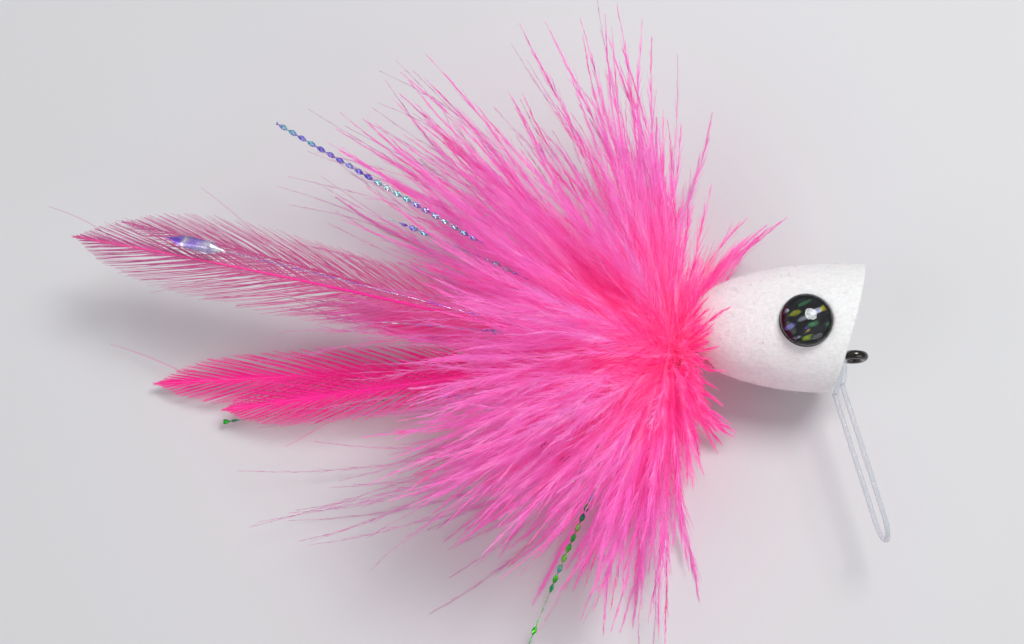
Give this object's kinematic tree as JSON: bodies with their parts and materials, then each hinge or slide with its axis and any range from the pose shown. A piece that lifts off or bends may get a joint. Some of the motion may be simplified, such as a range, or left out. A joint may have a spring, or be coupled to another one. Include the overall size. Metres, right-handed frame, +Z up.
{
  "type": "topwater popper",
  "caption": "Floating fly-rod popper: foam head with a cupped, leaning mouth, domed eyes, hooked shank, line weed guard, marabou collar and hackle tail, lying on its side.",
  "frame": {"origin": "centre of the hook eye, in the plane of the hook", "axes": "+X out of the mouth along the shank, +Y towards the back of the lure, +Z up from the bench it lies on"},
  "size_m": [0.0808, 0.0618, 0.0317],
  "materials": {
    "black_nickel": "black nickel plate",
    "white_thread": "waxed tying thread",
    "pink_thread": "waxed tying thread",
    "cement": "cured clear cement",
    "foam": "soft closed-cell foam",
    "eye_pad": "black sticky pad",
    "eye_foil": "holographic foil with a dark rim and pupil",
    "eye_dome": "clear resin dome",
    "guard_line": "clear nylon line",
    "hackle": "dyed feather",
    "marabou": "dyed down",
    "flash": "twisted iridescent film"
  },
  "bodies": {
    "lure": {"hook": "black_nickel", "shank_thread": "white_thread", "tail_thread_band": "pink_thread", "collar_thread_band": "pink_thread", "guard_thread_band": "white_thread", "shank_cement": "cement", "foam_head": "foam", "right_eye_pad": "eye_pad", "right_eye_foil": "eye_foil", "right_eye_dome": "eye_dome", "left_eye_pad": "eye_pad", "left_eye_foil": "eye_foil", "left_eye_dome": "eye_dome", "weed_guard_butts": "guard_line", "tail_stem_butts": "hackle", "tail_marabou": "marabou", "front_quill_wrap": "marabou", "rear_quill_wrap": "marabou", "rear_tuft_1": "marabou", "rear_tuft_7": "marabou"},
    "weed_guard": {"weed_guard_loop": "guard_line"},
    "right_outer": {"right_outer_hackle": "hackle", "flash_strand_7": "flash"},
    "right_inner": {"right_inner_hackle": "hackle"},
    "left_outer": {"left_outer_hackle": "hackle", "flash_strand_8": "flash"},
    "left_inner": {"left_inner_hackle": "hackle"},
    "front_tuft_4": {"front_tuft_4": "marabou"},
    "front_tuft_1": {"front_tuft_1": "marabou"},
    "front_tuft_2": {"front_tuft_2": "marabou"},
    "front_tuft_3": {"front_tuft_3": "marabou"},
    "front_tuft_5": {"front_tuft_5": "marabou"},
    "front_tuft_6": {"front_tuft_6": "marabou", "flash_strand_6": "flash"},
    "front_tuft_7": {"front_tuft_7": "marabou", "flash_strand_5": "flash"},
    "rear_tuft_2": {"rear_tuft_2": "marabou", "flash_strand_1": "flash"},
    "rear_tuft_3": {"rear_tuft_3": "marabou", "flash_strand_2": "flash"},
    "rear_tuft_4": {"rear_tuft_4": "marabou"},
    "rear_tuft_5": {"rear_tuft_5": "marabou", "flash_strand_3": "flash"},
    "rear_tuft_6": {"rear_tuft_6": "marabou", "flash_strand_4": "flash"}
  },
  "joints": [
    {"name": "weed_guard_flex", "type": "hinge", "parent": "lure", "child": "weed_guard", "pos_m": [-0.0016, -0.0036, 0], "axis": [0, 0, -1], "range_deg": [0, 55], "stiffness_Nm_per_rad": 0.0015},
    {"name": "right_outer_sway", "type": "hinge", "parent": "lure", "child": "right_outer", "pos_m": [-0.02635, 0.00034, 0.00185], "axis": [0, -1, 0], "range_deg": [-13, 3], "stiffness_Nm_per_rad": 0.003},
    {"name": "right_inner_sway", "type": "hinge", "parent": "lure", "child": "right_inner", "pos_m": [-0.02635, 0, 0.001], "axis": [0, -1, 0], "range_deg": [-13, 3], "stiffness_Nm_per_rad": 0.003},
    {"name": "left_outer_sway", "type": "hinge", "parent": "lure", "child": "left_outer", "pos_m": [-0.02635, -0.00034, -0.00185], "axis": [0, -1, 0], "range_deg": [-6, 1], "stiffness_Nm_per_rad": 0.003},
    {"name": "left_inner_sway", "type": "hinge", "parent": "lure", "child": "left_inner", "pos_m": [-0.02635, 0, -0.001], "axis": [0, -1, 0], "range_deg": [-6, 1], "stiffness_Nm_per_rad": 0.003},
    {"name": "front_tuft_4_fold", "type": "hinge", "parent": "lure", "child": "front_tuft_4", "pos_m": [-0.0183, 0, 0.00195], "axis": [0, -1, 0], "range_deg": [0, 16], "stiffness_Nm_per_rad": 0.003},
    {"name": "front_tuft_1_fold", "type": "hinge", "parent": "lure", "child": "front_tuft_1", "pos_m": [-0.0183, 0.00191, -0.00041], "axis": [0, 0.2079, 0.9781], "range_deg": [0, 16], "stiffness_Nm_per_rad": 0.003},
    {"name": "front_tuft_2_fold", "type": "hinge", "parent": "lure", "child": "front_tuft_2", "pos_m": [-0.0183, 0.00181, 0.00073], "axis": [0, -0.3746, 0.9272], "range_deg": [0, 16], "stiffness_Nm_per_rad": 0.003},
    {"name": "front_tuft_3_fold", "type": "hinge", "parent": "lure", "child": "front_tuft_3", "pos_m": [-0.0183, 0.00109, 0.00162], "axis": [0, -0.829, 0.5592], "range_deg": [0, 16], "stiffness_Nm_per_rad": 0.003},
    {"name": "front_tuft_5_fold", "type": "hinge", "parent": "lure", "child": "front_tuft_5", "pos_m": [-0.0183, -0.00109, 0.00162], "axis": [0, -0.829, -0.5592], "range_deg": [0, 16], "stiffness_Nm_per_rad": 0.003},
    {"name": "front_tuft_6_fold", "type": "hinge", "parent": "lure", "child": "front_tuft_6", "pos_m": [-0.0183, -0.00178, 0.00079], "axis": [0, -0.4067, -0.9135], "range_deg": [0, 16], "stiffness_Nm_per_rad": 0.003},
    {"name": "front_tuft_7_fold", "type": "hinge", "parent": "lure", "child": "front_tuft_7", "pos_m": [-0.0183, -0.00184, -0.00063], "axis": [0, 0.3256, -0.9455], "range_deg": [0, 16], "stiffness_Nm_per_rad": 0.003},
    {"name": "rear_tuft_2_fold", "type": "hinge", "parent": "lure", "child": "rear_tuft_2", "pos_m": [-0.0212, 0.00194, 0.00017], "axis": [0, -0.0872, 0.9962], "range_deg": [0, 6], "stiffness_Nm_per_rad": 0.003},
    {"name": "rear_tuft_3_fold", "type": "hinge", "parent": "lure", "child": "rear_tuft_3", "pos_m": [-0.0212, 0.00152, 0.00123], "axis": [0, -0.6293, 0.7771], "range_deg": [0, 6], "stiffness_Nm_per_rad": 0.003},
    {"name": "rear_tuft_4_fold", "type": "hinge", "parent": "lure", "child": "rear_tuft_4", "pos_m": [-0.0212, 0.00057, 0.00186], "axis": [0, -0.9563, 0.2924], "range_deg": [0, 6], "stiffness_Nm_per_rad": 0.003},
    {"name": "rear_tuft_5_fold", "type": "hinge", "parent": "lure", "child": "rear_tuft_5", "pos_m": [-0.0212, -0.0005, 0.00188], "axis": [0, -0.9659, -0.2588], "range_deg": [0, 6], "stiffness_Nm_per_rad": 0.003},
    {"name": "rear_tuft_6_fold", "type": "hinge", "parent": "lure", "child": "rear_tuft_6", "pos_m": [-0.0212, -0.0013, 0.00145], "axis": [0, -0.7431, -0.6691], "range_deg": [0, 6], "stiffness_Nm_per_rad": 0.003}
  ],
  "couplings": [
    {"joint": "right_inner_sway", "follows": "right_outer_sway", "ratio": 1},
    {"joint": "left_inner_sway", "follows": "left_outer_sway", "ratio": 1},
    {"joint": "front_tuft_1_fold", "follows": "front_tuft_4_fold", "ratio": 1},
    {"joint": "front_tuft_2_fold", "follows": "front_tuft_4_fold", "ratio": 1},
    {"joint": "front_tuft_3_fold", "follows": "front_tuft_4_fold", "ratio": 1},
    {"joint": "front_tuft_5_fold", "follows": "front_tuft_4_fold", "ratio": 1},
    {"joint": "front_tuft_6_fold", "follows": "front_tuft_4_fold", "ratio": 1},
    {"joint": "front_tuft_7_fold", "follows": "front_tuft_4_fold", "ratio": 1},
    {"joint": "rear_tuft_2_fold", "follows": "front_tuft_4_fold", "ratio": 0.375},
    {"joint": "rear_tuft_3_fold", "follows": "front_tuft_4_fold", "ratio": 0.375},
    {"joint": "rear_tuft_4_fold", "follows": "front_tuft_4_fold", "ratio": 0.375},
    {"joint": "rear_tuft_5_fold", "follows": "front_tuft_4_fold", "ratio": 0.375},
    {"joint": "rear_tuft_6_fold", "follows": "front_tuft_4_fold", "ratio": 0.375}
  ]
}
